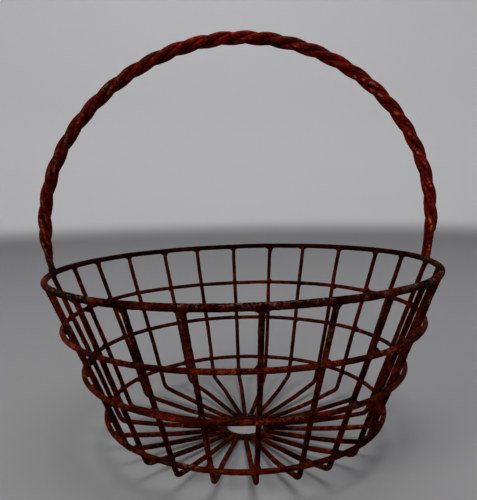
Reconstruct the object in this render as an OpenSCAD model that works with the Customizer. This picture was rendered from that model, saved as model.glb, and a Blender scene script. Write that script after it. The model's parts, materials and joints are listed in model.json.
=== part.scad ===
// Round wire fruit picking basket with a fixed twisted bow handle. Welded iron bar throughout.
// Millimetres, +Z up. The origin is on the ground under the middle of the hub ring. The handle stands in
// the X-Z plane, and rib 1 faces -Y.

/* [Rim] */
// Radius of the rim hoop, to the middle of its bar
rim_r = 200; // [170:5:240]
// Height of the rim hoop above the ground, to the middle of its bar
rim_z = 183.5; // [170:0.5:220]
// Thickness of the rim hoop's bar
rim_bar = 6.2; // [5:0.1:8]
// How far the rim is out of level, in degrees, rising towards +X; the lower hoops follow it less and less
rim_lean = 1; // [0:0.1:2]

/* [Side hoops] */
// Thickness of the bar of the three side hoops
hoop_bar = 4.8; // [4:0.1:6]
// Height of the upper hoop
upper_z = 132.5; // [120:0.5:145]
// Height of the middle hoop
middle_z = 85.5; // [75:0.5:100]
// Height of the lower hoop
lower_z = 34; // [32:0.5:50]
// Gap that the weld bridges between a hoop and the ribs
hoop_standoff = 0.8; // [0:0.1:1.5]

/* [Ribs] */
// Thickness of the rib wire
rib_wire = 4.9; // [4:0.1:5.2]
// Slope of the basket's side, in degrees from upright
side_slope = 21; // [17:0.5:24]
// Radius of the bend between side and base, to the middle of the wire
bend_r = 9; // [7:0.5:14]
// How far the base wires bow down from the bend to the middle
base_dish = 12; // [8:0.5:16]
// Height of the base wires' underside over the ground, at the hub
rib_clear = 1; // [0.5:0.5:1.5]
// Radius at which the ribs end, sunk into the hub ring
rib_end_r = 25.5; // [25:0.5:26.5]

/* [Hub] */
// Radius of the open hole in the middle of the base
hub_hole_r = 20; // [16:0.5:20]
// Outer radius of the hub ring
hub_r = 27.5; // [27:0.5:30]
// Thickness of the hub ring
hub_t = 4; // [3.5:0.5:5]
// Size of the worn edges of the hub ring
hub_edge = 0.9; // [0.5:0.1:1.2]

/* [Handle] */
// How far the widest part of the handle stands outside the rim hoop, to the middle of the bundle
handle_bulge = 6.2; // [4:0.1:8]
// Height of the handle's widest point above the rim
handle_waist = 40; // [20:1:60]
// Rise from the widest point to the top, to the middle of the bundle
handle_rise = 196; // [170:1:220]
// How much fuller the +X shoulder of the bow is than the other
handle_skew = 3; // [0:0.5:6]
// Thickness of each of the three strands over its rounded outside
strand_bar = 7.6; // [6:0.1:8]
// Distance from the bundle's line to the middle of a strand; the strands are pressed flat where they meet
lay_r = 3.2; // [2.8:0.1:3.6]
// Length along the handle in which a strand makes one turn
lay_pitch = 76; // [60:1:100]
// Turn of the whole bundle about its own line, in degrees
lay_phase = 165; // [0:5:360]

/* [Welds] */
// Radius of the bead at each crossing of a hoop and a rib
crossing_bead_r = 3.5; // [3:0.1:4]
// Radius of the bead between two rib ends at the hub
hub_bead_r = 2.2; // [1.8:0.1:2.4]
// How far the fillet at a rib's top flares out under the rim
top_flare = 1.6; // [0.8:0.1:2.2]

/* [Hidden] */
$fn = 48;
rib_count = 24;
rib_step = 360 / rib_count;
// Degrees by which each rib was set off its even place by hand, from rib 1 round through +X
rib_stray = [
    0.3, 1.1, 0.3, -0.8, -1.5, -1.3, -2.2, -1.2, -2.4, -0.9, 0.2, -0.7,
    -0.3, 0, -0.7, 0.5, 0.6, -0.4, 1, 1.2, -0.2, -0.3, 0, -0.7
];
rib_names = [for (i = [1 : rib_count]) str("rib_", i < 10 ? "0" : "", i)];

deep_rust = [0.30, 0.11, 0.06];
brown_rust = [0.36, 0.15, 0.08];
handle_rust = [0.38, 0.12, 0.07];
burnt_weld = [0.16, 0.11, 0.10];

// ---- The line of a rib, in its own upright plane: x outwards, y up ----
rib_r = rib_wire / 2;
// Direction up along the side, and the direction square to it that points into the basket
side_up = [sin(side_slope), cos(side_slope)];
side_in = [-cos(side_slope), sin(side_slope)];
rim_centre = [rim_r, rim_z];
// The base wires lie on a wide arc about a centre high above the hub, and run into the hub ring's edge
dish_low = rib_clear + rib_r;
corner_r = rim_r - (rim_z - dish_low - base_dish) * tan(side_slope);
dish_r = (corner_r ^ 2 + base_dish ^ 2) / (2 * base_dish);
dish_centre = [0, dish_low + dish_r];
// The bend's centre is bend_r inside the side's line and bend_r inside the dish's arc
bend_line = rim_centre + bend_r * side_in;
along = (dish_centre - bend_line) * side_up;
off_line = norm(bend_line + along * side_up - dish_centre);
bend_drop = sqrt((dish_r - bend_r) ^ 2 - off_line ^ 2);
bend_centre = bend_line + (along - bend_drop) * side_up;
side_foot = bend_centre - bend_r * side_in;
// Angles about the two centres, from +x towards +y
side_angle = -side_slope;
dish_angle = atan2(bend_centre.y - dish_centre.y, bend_centre.x);
rib_end_angle = -acos(rib_end_r / dish_r);

function rib_angle(i) = (i - 1) * rib_step + rib_stray[i - 1];
// Lean, in degrees, of the ring whose middle is at height z
function lean_at(z) = rim_lean * z / rim_z;
function side_r(z) = rim_r - (rim_z - z) * tan(side_slope);
function hoop_r(z) = side_r(z) + (rib_r + hoop_bar / 2 + hoop_standoff) / cos(side_slope);

// Lays a bar of thickness bar into a ring of radius r round the basket's side at height z
module ring(r, z, bar) {
    shift = r * tan(lean_at(z)) * tan(side_slope);
    translate([shift, 0, z])
        rotate([0, -lean_at(z), 0])
            rotate_extrude()
                translate([r, 0])
                    circle(d = bar);
}

// Turns what is drawn in the X-Z plane to the place of rib i
module at_rib(i) {
    rotate(rib_angle(i) - 90)
        children();
}

bend_facets = 96;
// A round bar bent about centre in the X-Z plane, from one angle up to another
module bend(centre, r, bar, from, to) {
    translate([centre.x, 0, centre.y])
        rotate([90, 0, 0])
            rotate(from)
                rotate_extrude(angle = to - from, $fn = bend_facets)
                    translate([r, 0])
                        circle(d = bar);
}

// A straight round bar along the side's slope, from point start in the X-Z plane
module side_bar(start, length, r_low, r_high) {
    translate([start.x, 0, start.y])
        rotate([0, side_slope, 0])
            cylinder(h = length, r1 = r_low, r2 = r_high);
}

// How much higher the leaning rim is at rib i, measured along the side
function rib_extra(i) = rim_r * tan(rim_lean) * sin(rib_angle(i)) / cos(side_slope);
// Length of a rib's straight side, up to the underside of the rim
function rib_side_length(i) = norm(rim_centre - side_foot) - rim_bar / 2 + rib_extra(i);

module rim_hoop() {
    color(brown_rust)
        ring(rim_r, rim_z, rim_bar);
}

module side_hoop(z) {
    color(brown_rust)
        ring(hoop_r(z), z, hoop_bar);
}

// Each rib is a straight bar and two bent ones, joined through knuckles a hair thicker than the wire
knuckle_extra = 0.02;
joint_gap = 0.1;
dish_foot = bend_centre + bend_r * [cos(dish_angle), sin(dish_angle)];
bend_gap = joint_gap / bend_r * 180 / PI;
dish_gap = joint_gap / dish_r * 180 / PI;

module knuckle(point) {
    translate([point.x, 0, point.y])
        sphere(r = rib_r + knuckle_extra);
}

module rib(i) {
    color(deep_rust)
        at_rib(i)
            union() {
                side_bar(side_foot + joint_gap * side_up, rib_side_length(i) - joint_gap, rib_r, rib_r);
                knuckle(side_foot);
                bend(bend_centre, bend_r, rib_wire, dish_angle + bend_gap, side_angle - bend_gap);
                knuckle(dish_foot);
                bend(dish_centre, dish_r, rib_wire, rib_end_angle, dish_angle - dish_gap);
            }
}

module hub_ring() {
    color(deep_rust)
        rotate_extrude()
            polygon([
                [hub_hole_r + hub_edge, 0], [hub_r - hub_edge, 0],
                [hub_r, hub_edge], [hub_r, hub_t - hub_edge],
                [hub_r - hub_edge, hub_t], [hub_hole_r + hub_edge, hub_t],
                [hub_hole_r, hub_t - hub_edge], [hub_hole_r, hub_edge]
            ]);
}

// ---- The handle: three strands laid up left-handed round one bowed line ----
handle_z = rim_z + handle_waist;
handle_half_w = rim_r + handle_bulge;
// Angles of the two feet on the bow, where the line comes down to the top of the leaning rim
foot_lift = rim_r * tan(rim_lean);
right_foot = -asin((handle_waist - rim_bar / 2 - foot_lift) / handle_rise);
left_foot = 180 + asin((handle_waist - rim_bar / 2 + foot_lift) / handle_rise);
// One degree of the bow, as a length
degree_length = PI / 180 * (handle_half_w + handle_rise) / 2;
// Gap left between the flats of two strands
strand_gap = 0.1;
// The twist runs ahead by this many degrees along one stretch of the -X half
lay_surge = 27;
surge_start = 300;
surge_length = 350;
// The bow was bent by hand, with five shallow waves to the turn
bow_ripple = 0.6;
ripple_count = 5;
ripple_phase = 32;
// At the +X foot the strands run straight over this length
straight_length = 34;
// One strand stops this far short of the rim there
short_strand = 3;
short_by = 30;
// The same foot is drawn in towards the basket by foot_tuck, over tuck_length
foot_tuck = 1.3;
tuck_length = 50;
// Both feet are forged down over this length, to these fractions of the strand's thickness
forge_length = 45;
right_forge = 0.84;
left_forge = 0.47;
strand_rings = 140;
strand_sides = 10;
// Degrees to each side of a point over which a direction is taken
probe = 0.4;

function from_right(a) = (a - right_foot) * degree_length;
function bow_point(a) =
    let(
        ripple = bow_ripple * cos(ripple_count * (a - 90) - ripple_phase),
        tuck = foot_tuck * (1 - eased(from_right(a) / tuck_length))
    )
    [
        (handle_half_w + ripple) * cos(a) - tuck,
        0,
        handle_z + (handle_rise + ripple) * sin(a) + handle_skew * sin(2 * a)
    ];
function unit(v) = v / norm(v);
function bow_tangent(a) = unit(bow_point(a + probe) - bow_point(a - probe));
function bow_normal(a) = cross([0, -1, 0], bow_tangent(a));
function eased(t) = let(u = min(1, max(0, t))) u * u * (3 - 2 * u);
function forged(a) =
    let(from_left = (left_foot - a) * degree_length)
    (right_forge + (1 - right_forge) * eased(from_right(a) / forge_length))
    * (left_forge + (1 - left_forge) * eased(from_left / forge_length));
function surge(a) =
    let(part = min(1, max(0, (from_right(a) - surge_start) / surge_length)))
    lay_surge * sin(180 * part) ^ 2;
function turn_at(a) = 360 / lay_pitch * max(0, from_right(a) - straight_length) + surge(a);
// Direction from the bundle's line to the strand that starts at angle start
function strand_out(a, start) =
    let(phi = turn_at(a) + start + lay_phase)
    cos(phi) * bow_normal(a) + sin(phi) * [0, 1, 0];
function strand_point(a, start) = bow_point(a) + lay_r * forged(a) * strand_out(a, start);
// Reach of a strand's side at angle b from its outward direction: round, but flat towards its neighbours,
// which lie beyond the two planes at 60 degrees to either side
function strand_reach(b, size) =
    let(towards_flat = max(cos(b - 150), cos(b + 150)), flat = lay_r * size * sin(60) - strand_gap)
    min(strand_bar / 2 * size, flat / max(0.01, towards_flat));
function strand_ring(a, start) =
    let(
        along_strand = unit(strand_point(a + probe, start) - strand_point(a - probe, start)),
        out = strand_out(a, start),
        side_a = unit(out - (out * along_strand) * along_strand),
        side_b = cross(along_strand, side_a)
    )
    [for (k = [0 : strand_sides - 1])
        let(b = k * 360 / strand_sides)
        strand_point(a, start) + strand_reach(b, forged(a)) * (cos(b) * side_a + sin(b) * side_b)];

// A closed tube through a list of rings of points, in triangles
module tube(rings) {
    n = len(rings[0]);
    last = (len(rings) - 1) * n;
    starts = [for (i = [0 : len(rings) - 2], k = [0 : n - 1]) [i * n + k, i * n + (k + 1) % n]];
    lower = [for (s = starts) [s[0], s[0] + n, s[1] + n]];
    upper = [for (s = starts) [s[0], s[1] + n, s[1]]];
    first_end = [for (k = [1 : n - 2]) [0, k, k + 1]];
    last_end = [for (k = [1 : n - 2]) [last, last + k + 1, last + k]];
    polyhedron(points = [for (r = rings) each r], faces = concat(lower, upper, first_end, last_end));
}

module handle_strand(i) {
    start = (i - short_strand) * 120;
    first = right_foot + (i == short_strand ? short_by / degree_length : 0);
    span = left_foot - first;
    color(handle_rust)
        tube([for (j = [0 : strand_rings]) strand_ring(first + span * j / strand_rings, start)]);
}

// ---- Welds ----
module crossing_beads(z) {
    seam_r = (side_r(z) + hoop_r(z)) / 2;
    color(burnt_weld)
        for (i = [1 : rib_count]) {
            lift = seam_r * tan(lean_at(z)) * sin(rib_angle(i));
            at_rib(i)
                translate([seam_r + lift * tan(side_slope), 0, z + lift])
                    sphere(r = crossing_bead_r);
        }
}

flare_length = 5;
// How far a weld on the rim runs into the rim's bar
rim_bite = rim_bar / 4;
module rim_welds() {
    color(burnt_weld)
        for (i = [1 : rib_count])
            at_rib(i)
                side_bar(
                    side_foot + (rib_side_length(i) - flare_length) * side_up,
                    flare_length + rim_bite, rib_r, rib_r + top_flare
                );
}

// The hub beads lie in the notches between two ribs and the hub ring's outer edge
hub_bead_in = 0.5;
module hub_welds() {
    seam_r = hub_r - hub_bead_in;
    color(burnt_weld)
        for (i = [1 : rib_count])
            rotate((rib_angle(i) + rib_angle(i % rib_count + 1) + (i == rib_count ? 360 : 0)) / 2 - 90)
                translate([seam_r, 0, hub_t - hub_bead_in])
                    sphere(r = hub_bead_r);
}

foot_weld_h = 7;
foot_weld_r = 5.4;
// Radius of the weld's top, as a share of the forged strand's thickness
foot_weld_top = 0.7;
module foot_weld(a, forge) {
    p = bow_point(a);
    color(burnt_weld)
        translate([p.x, p.y, p.z - rim_bite])
            cylinder(h = foot_weld_h, r1 = foot_weld_r, r2 = strand_bar * forge * foot_weld_top);
}

module handle_end_welds() {
    foot_weld(right_foot, right_forge);
    foot_weld(left_foot, left_forge);
}

rim_hoop();
side_hoop(upper_z);  // upper_hoop
side_hoop(middle_z);  // middle_hoop
side_hoop(lower_z);  // lower_hoop
hub_ring();
for (i = [1 : rib_count]) rib(i);
handle_strand(1);  // handle_strand_1
handle_strand(2);  // handle_strand_2
handle_strand(3);  // handle_strand_3
rim_welds();
crossing_beads(upper_z);  // upper_hoop_welds
crossing_beads(middle_z);  // middle_hoop_welds
crossing_beads(lower_z);  // lower_hoop_welds
hub_welds();
handle_end_welds();
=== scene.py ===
"""Looks of the welded wire basket: every bar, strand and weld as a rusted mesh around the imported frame."""

import math
import bpy
import numpy as np
from mathutils import Matrix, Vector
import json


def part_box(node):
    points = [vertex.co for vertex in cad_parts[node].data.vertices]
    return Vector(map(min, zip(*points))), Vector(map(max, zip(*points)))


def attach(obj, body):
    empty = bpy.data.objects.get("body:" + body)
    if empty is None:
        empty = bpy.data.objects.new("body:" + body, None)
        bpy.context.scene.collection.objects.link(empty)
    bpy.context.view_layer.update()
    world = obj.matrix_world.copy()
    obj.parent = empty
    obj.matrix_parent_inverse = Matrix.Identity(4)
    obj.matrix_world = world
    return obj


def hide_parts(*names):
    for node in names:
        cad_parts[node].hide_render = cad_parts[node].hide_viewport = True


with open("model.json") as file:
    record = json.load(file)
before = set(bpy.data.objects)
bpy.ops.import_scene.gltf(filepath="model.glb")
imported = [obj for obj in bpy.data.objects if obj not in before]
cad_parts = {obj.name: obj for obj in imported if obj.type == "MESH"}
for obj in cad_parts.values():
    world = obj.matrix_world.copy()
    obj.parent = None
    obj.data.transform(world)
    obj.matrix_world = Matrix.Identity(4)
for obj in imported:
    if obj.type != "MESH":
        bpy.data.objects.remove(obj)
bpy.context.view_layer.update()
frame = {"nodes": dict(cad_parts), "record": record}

# Lengths below are millimetres in the row frame; SCALE takes them to Blender's metres.
SCALE = 0.001
SLOT_OF = {s["node"]: s["material_slot"] for s in frame["record"]["subparts"]}
RIBS = [f"rib_{i:02d}" for i in range(1, 25)]
SIDE_HOOPS = ["upper_hoop", "middle_hoop", "lower_hoop"]
UP = np.array([0.0, 0.0, 1.0])


# ---------------------------------------------------------------- small maths

def unit(v):
    """Vectors of length one, along the last axis."""
    return v / np.maximum(np.linalg.norm(v, axis=-1, keepdims=True), 1e-12)


def eased(t):
    """0 below 0, 1 above 1, and smooth between."""
    u = np.clip(t, 0, 1)
    return u * u * (3 - 2 * u)


def lattice(i, j, k, seed):
    """A fixed pseudo-random number from -1 to 1 for each lattice point."""
    n = (i * 374761393 + j * 668265263 + k * 1274126177 + seed * 974711) & 0xFFFFFFFF
    n = ((n ^ (n >> 13)) * 1103515245) & 0xFFFFFFFF
    n = ((n ^ (n >> 15)) * 668265263) & 0xFFFFFFFF
    return ((n >> 8) & 0xFFFF) / 32767.5 - 1


def noise(p, size, seed):
    """Smooth noise from about -1 to 1 with features of this size. Another seed gives another pattern."""
    q = p / size + 0.37 * seed
    cell = np.floor(q).astype(np.int64)
    f = q - cell
    f = f * f * f * (f * (f * 6 - 15) + 10)
    total = np.zeros(len(p))
    for dx in (0, 1):
        wx = f[:, 0] if dx else 1 - f[:, 0]
        for dy in (0, 1):
            wy = f[:, 1] if dy else 1 - f[:, 1]
            for dz in (0, 1):
                wz = f[:, 2] if dz else 1 - f[:, 2]
                total += wx * wy * wz * lattice(cell[:, 0] + dx, cell[:, 1] + dy, cell[:, 2] + dz, seed)
    return total


# The swellings and scale of rust: height, size and seed of each. Its pits: depth, size and seed, the level
# of the noise at which they start, and how much further it rises to their full depth.
RUST_SWELLS = [(0.10, 7.0, 1), (0.07, 3.1, 2), (0.05, 1.5, 3)]
RUST_PITS = [(0.16, 2.2, 4, 0.28, 0.4), (0.08, 1.2, 5, 0.35, 0.3)]


def rust_relief(p, rough=1.0):
    """How far rust lifts or eats the surface at points p: swellings, scale and pits."""
    lift = sum(height * noise(p, size, seed) for height, size, seed in RUST_SWELLS)
    for depth, size, seed, start, rise in RUST_PITS:
        lift = lift - depth * eased((noise(p, size, seed) - start) / rise)
    return rough * lift


# ---------------------------------------------------------------- the bars' lines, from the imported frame

def node_points(node):
    """A CAD node's vertices."""
    mesh = frame["nodes"][node].data
    co = np.empty(len(mesh.vertices) * 3, np.float32)
    mesh.vertices.foreach_get("co", co)
    return co.reshape(-1, 3).astype(float) / SCALE


def ring_of(node):
    """Centre, axis, radius and bar radius of a ring node."""
    p = node_points(node)
    centre = (p.min(0) + p.max(0)) / 2
    axis = np.linalg.svd(p - p.mean(0), full_matrices=False)[2][2]
    axis = axis * np.sign(axis[2])
    height = (p - centre) @ axis
    reach = np.linalg.norm(p - centre - height[:, None] * axis, axis=1)
    return centre, axis, (reach.max() + reach.min()) / 2, (reach.max() - reach.min()) / 2


def wander(s, seed, size, length=None):
    """A slow hand-made wobble along a bar, from -1 to 1. With length it closes on itself."""
    if length is None:
        return noise(np.stack([s, 0 * s, 0 * s], 1), size, seed)
    turn = 2 * np.pi * s / length
    r = length / (2 * np.pi)
    return noise(np.stack([r * np.cos(turn), r * np.sin(turn), 0 * s], 1), size, seed)


# How far the sides and the back sway, the height where that starts, the rise over which it grows, and how
# far round from the front, as one minus the cosine, it is in full
SWAY, SWAY_FOOT, SWAY_RISE, SWAY_TURN = 2.1, 38.0, 145.0, 0.7


def swayed(p):
    """The points p, moved as the sides and back of the basket sway a little to -X on their way up."""
    toward_front = -p[:, 1] / np.maximum(np.hypot(p[:, 0], p[:, 1]), 1)
    shift = SWAY * eased((p[:, 2] - SWAY_FOOT) / SWAY_RISE) * eased((1 - toward_front) / SWAY_TURN)
    return p - shift[:, None] * [1, 0, 0]


BAR_STEP = 0.9                        # between the rings of vertices along a bar
RING_STRAY = 0.45                     # how far a ring strays from its circle, outwards and upwards
OUT_STRAY_SIZE, UP_STRAY_SIZE = 70, 60


def ring_path(node, seed):
    """The line of a ring, starting at -Y and going round through +X."""
    centre, axis, radius, bar = ring_of(node)
    length = 2 * np.pi * radius
    n = int(length / BAR_STEP)
    turn = np.arange(n) * 2 * np.pi / n
    side = unit(np.cross(axis, [0.0, -1.0, 0.0]))
    front = np.cross(side, axis)
    out = np.sin(turn)[:, None] * side + np.cos(turn)[:, None] * front
    s = turn * radius
    path = centre + out * (radius + RING_STRAY * wander(s, seed, OUT_STRAY_SIZE, length))[:, None]
    path = path + axis * (RING_STRAY * wander(s, seed + 1, UP_STRAY_SIZE, length))[:, None]
    return swayed(path), np.tile(axis, (n, 1)), bar


SIDE_SHARE = 0.6                      # a rib's side lies further out than this share of the rim's radius


def rib_bearing(node):
    """The angle of a rib from -Y towards +X."""
    p = node_points(node)
    far = p[np.hypot(p[:, 0], p[:, 1]) > SIDE_SHARE * rim_r].mean(0)
    return math.atan2(far[0], -far[1])


rim_centre, rim_axis, rim_r, rim_bar_r = ring_of("rim_hoop")
upper, lower = ring_of("upper_hoop"), ring_of("lower_hoop")
SLOPE = math.atan2(upper[2] - lower[2], upper[0][2] - lower[0][2])
first_bearing = rib_bearing("rib_01")
rib_r = (node_points("rib_01") @ [math.cos(first_bearing), math.sin(first_bearing), 0]).max()
hub_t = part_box("hub_ring")[1].z / SCALE
hub_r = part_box("hub_ring")[1].x / SCALE
HUB_HOLE_R = next(m["dims"]["r_mm"] for m in frame["record"]["mounts"] if m["name"] == "hub_hole")
# The ribs: radius of the bend, rise of the base from the hub to the bend, where they end at the hub, and
# how far their underside is over the ground there
BEND_R, BASE_DISH, RIB_END_R, RIB_CLEAR = 9.0, 12.0, 25.5, 1.0
RIM_LEAN = math.atan2(-rim_axis[0], rim_axis[2])

# A rib's line in its own upright plane, outwards and up: side, bend, and the wide arc of the base
side_up = np.array([math.sin(SLOPE), math.cos(SLOPE)])
side_in = np.array([-math.cos(SLOPE), math.sin(SLOPE)])
rim_point = np.array([rim_r, rim_centre[2]])
dish_low = RIB_CLEAR + rib_r
corner_r = rim_r - (rim_centre[2] - dish_low - BASE_DISH) * math.tan(SLOPE)
dish_r = (corner_r ** 2 + BASE_DISH ** 2) / (2 * BASE_DISH)
dish_centre = np.array([0.0, dish_low + dish_r])
bend_line = rim_point + BEND_R * side_in
along = (dish_centre - bend_line) @ side_up
off_line = np.linalg.norm(bend_line + along * side_up - dish_centre)
bend_centre = bend_line + (along - math.sqrt((dish_r - BEND_R) ** 2 - off_line ** 2)) * side_up
side_foot = bend_centre - BEND_R * side_in
dish_angle = math.atan2(bend_centre[1] - dish_centre[1], bend_centre[0])
end_angle = -math.acos(RIB_END_R / dish_r)


def rib_profile(side_length):
    """A rib's line from its end over the hub to its top, as (outwards, up)."""
    turns = np.linspace(end_angle, dish_angle, int(dish_r * (dish_angle - end_angle) / BAR_STEP))
    base = dish_centre + dish_r * np.stack([np.cos(turns), np.sin(turns)], 1)
    turns = np.linspace(dish_angle, -SLOPE, int(BEND_R * (-SLOPE - dish_angle) / BAR_STEP))
    bend = bend_centre + BEND_R * np.stack([np.cos(turns), np.sin(turns)], 1)
    rises = np.linspace(0, side_length, int(side_length / BAR_STEP))
    side = side_foot + rises[:, None] * side_up
    return np.concatenate([base, bend[1:], side[1:]])


# How far a rib was set off its even line by hand, towards the next rib: its run over the base, and its top.
# The run's is full inside BASE_REACH - BASE_FADE. A leaning side crosses its even line at LEAN_LEVEL, and
# LEAN_FULL makes up for a tanh that stays under 1.
BASE_SET = {1: -1.2, 2: -3.0, 3: -3.8, 4: -4.4, 5: -2.6, 9: -0.5, 10: -1.3, 11: -1.4, 12: -0.8, 13: -1.5,
            14: -3.8, 15: -4.5, 16: -2.6, 17: -2.2, 23: -0.6, 24: -2.2}
TOP_SET = {3: 1.7, 4: -1.3, 5: 1.0, 8: -0.8, 9: -1.6, 10: 1.0, 14: 0.6, 17: 1.8, 20: 1.8, 24: -0.7}
BASE_REACH, BASE_FADE = 132, 45
LEAN_LEVEL, LEAN_RISE, LEAN_FULL, LEAN_REACH, LEAN_FADE = 111, 45, 1.1, 70, 60
# How far a rib strays across and along its plane, with the size of its bends, and how much of each end
# the welds hold to its line
ACROSS_STRAY, ACROSS_SIZE, PLANE_STRAY, PLANE_SIZE = 0.55, 55, 0.35, 50
HELD_FOOT, HELD_TOP = 25, 20


def rib_path(node, seed):
    """Line, sideways directions and bar radius of a rib, from its end at the hub to its top."""
    bearing = rib_bearing(node)
    out = np.array([math.sin(bearing), -math.cos(bearing), 0.0])
    across = np.array([math.cos(bearing), math.sin(bearing), 0.0])
    extra = rim_r * math.tan(RIM_LEAN) * math.sin(bearing) / math.cos(SLOPE)
    length = np.linalg.norm(rim_point - side_foot) + extra
    flat = rib_profile(length)
    path = flat[:, :1] * out + flat[:, 1:] * UP
    s = np.concatenate([[0], np.cumsum(np.linalg.norm(np.diff(path, axis=0), axis=1))])
    held = eased(s / HELD_FOOT) * eased((s[-1] - s) / HELD_TOP)
    path = path + across * (ACROSS_STRAY * held * wander(s, seed, ACROSS_SIZE))[:, None]
    normal = unit(np.cross(np.gradient(path, axis=0), across))
    path = path + normal * (PLANE_STRAY * held * wander(s, seed + 1, PLANE_SIZE))[:, None]
    number, reach = RIBS.index(node) + 1, np.hypot(path[:, 0], path[:, 1])
    lean = LEAN_FULL * np.tanh((path[:, 2] - LEAN_LEVEL) / LEAN_RISE)
    set_off = BASE_SET.get(number, 0) * eased((BASE_REACH - reach) / BASE_FADE)
    set_off = set_off + TOP_SET.get(number, 0) * lean * eased((reach - LEAN_REACH) / LEAN_FADE)
    path = path + across * set_off[:, None]
    return swayed(path), np.tile(across, (len(path), 1)), rib_r


# ---------------------------------------------------------------- the twisted handle's line

# The bow: how far its widest place is outside the rim and above it, its rise from there, how much fuller its
# +X shoulder is, and the hand-made ripple in its curve
HANDLE_BULGE, HANDLE_WAIST, HANDLE_RISE, HANDLE_SKEW = 6.2, 40.0, 196.0, 3.0
BOW_RIPPLE, RIPPLE_COUNT, RIPPLE_PHASE = 0.6, 5, 32.0
# The lay: radius of a strand, of the circle its middle runs on, its pitch and start in degrees, the gap
# between strands, and a stretch where it runs ahead by so many degrees
STRAND_R, LAY_R, LAY_PITCH, LAY_PHASE, STRAND_GAP = 3.8, 3.2, 76.0, 165.0, 0.1
LAY_SURGE, SURGE_START, SURGE_LENGTH = 27.0, 300.0, 350.0
# How unevenly it is twisted, in degrees, and forged, as a share, with the size and seed of each unevenness
LAY_STRAY, LAY_STRAY_SIZE, LAY_SEED = 4, 90, 40
SLIM_STRAY, SLIM_STRAY_SIZE, SLIM_SEED = 0.02, 30, 60
# The right foot runs straight, with one strand shorter, and is tucked in. Both feet are forged thin.
STRAIGHT_LENGTH, SHORT_STRAND, SHORT_BY, FOOT_TUCK, TUCK_LENGTH = 34.0, 3, 30.0, 0.5, 50.0
FORGE_LENGTH, RIGHT_FORGE, LEFT_FORGE = 45.0, 0.84, 0.47
FOOT_SUNK, STRAND_STEP = 2.5, 0.85
half_w = rim_r + HANDLE_BULGE
handle_z = rim_centre[2] + HANDLE_WAIST
foot_lift = rim_r * math.tan(RIM_LEAN)
right_foot = -math.degrees(math.asin((HANDLE_WAIST - rim_bar_r - foot_lift) / HANDLE_RISE))
left_foot = 180 + math.degrees(math.asin((HANDLE_WAIST - rim_bar_r + foot_lift) / HANDLE_RISE))
degree_length = math.pi / 180 * (half_w + HANDLE_RISE) / 2


def bow_point(a):
    """The bundle's line at angle a of the bow, in degrees from +X."""
    t = np.radians(a)
    ripple = BOW_RIPPLE * np.cos(np.radians(RIPPLE_COUNT * (a - 90) - RIPPLE_PHASE))
    tuck = FOOT_TUCK * (1 - eased((a - right_foot) * degree_length / TUCK_LENGTH))
    x = (half_w + ripple) * np.cos(t) - tuck
    z = handle_z + (HANDLE_RISE + ripple) * np.sin(t) + HANDLE_SKEW * np.sin(2 * t)
    return np.stack([x, 0 * t, z], -1)


def bow_normal(a, half_step=0.4):
    """The direction across the bow at angle a, in its plane and towards its inside."""
    return np.cross([0.0, -1.0, 0.0], unit(bow_point(a + half_step) - bow_point(a - half_step)))


def forged(a):
    """The bundle's thickness at angle a, as a share of the full one: both feet are forged thin."""
    from_right, from_left = (a - right_foot) * degree_length, (left_foot - a) * degree_length
    return (RIGHT_FORGE + (1 - RIGHT_FORGE) * eased(from_right / FORGE_LENGTH)) * (
        LEFT_FORGE + (1 - LEFT_FORGE) * eased(from_left / FORGE_LENGTH))


def strand_path(i):
    """Line, outward directions and thickness, as a share of the full one, of a strand."""
    start = (i - SHORT_STRAND) * 120
    first = right_foot - FOOT_SUNK / degree_length
    if i == SHORT_STRAND:
        first = right_foot + SHORT_BY / degree_length
    last = left_foot + FOOT_SUNK / degree_length
    a = np.linspace(first, last, int((last - first) * degree_length / STRAND_STEP))
    s = (a - right_foot) * degree_length
    surge = LAY_SURGE * np.sin(np.pi * np.clip((s - SURGE_START) / SURGE_LENGTH, 0, 1)) ** 2
    turn = 360 / LAY_PITCH * np.maximum(0, s - STRAIGHT_LENGTH) + surge + start + LAY_PHASE
    turn = np.radians(turn + LAY_STRAY * wander(s, LAY_SEED, LAY_STRAY_SIZE))
    out = np.cos(turn)[:, None] * bow_normal(a) + np.sin(turn)[:, None] * np.array([0.0, 1.0, 0.0])
    slim = forged(a) * (1 + SLIM_STRAY * wander(s, SLIM_SEED + i, SLIM_STRAY_SIZE))
    path = bow_point(a) + out * (LAY_R * slim)[:, None]
    return path, out, slim


TO_NEIGHBOUR, HALF_THIRD = math.radians(150), math.radians(60)


def strand_reach(theta, slim):
    """Reach of a strand's side at angle theta from its outward direction: round, flat at its neighbours."""
    flat = (LAY_R * slim * math.sin(HALF_THIRD) - STRAND_GAP / 2)[:, None]
    lean = np.maximum(np.cos(theta - TO_NEIGHBOUR), np.cos(theta + TO_NEIGHBOUR))[None, :]
    flat = flat / np.maximum(lean, 0.01)
    return np.minimum(STRAND_R * slim[:, None], flat)


# ---------------------------------------------------------------- meshes

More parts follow.
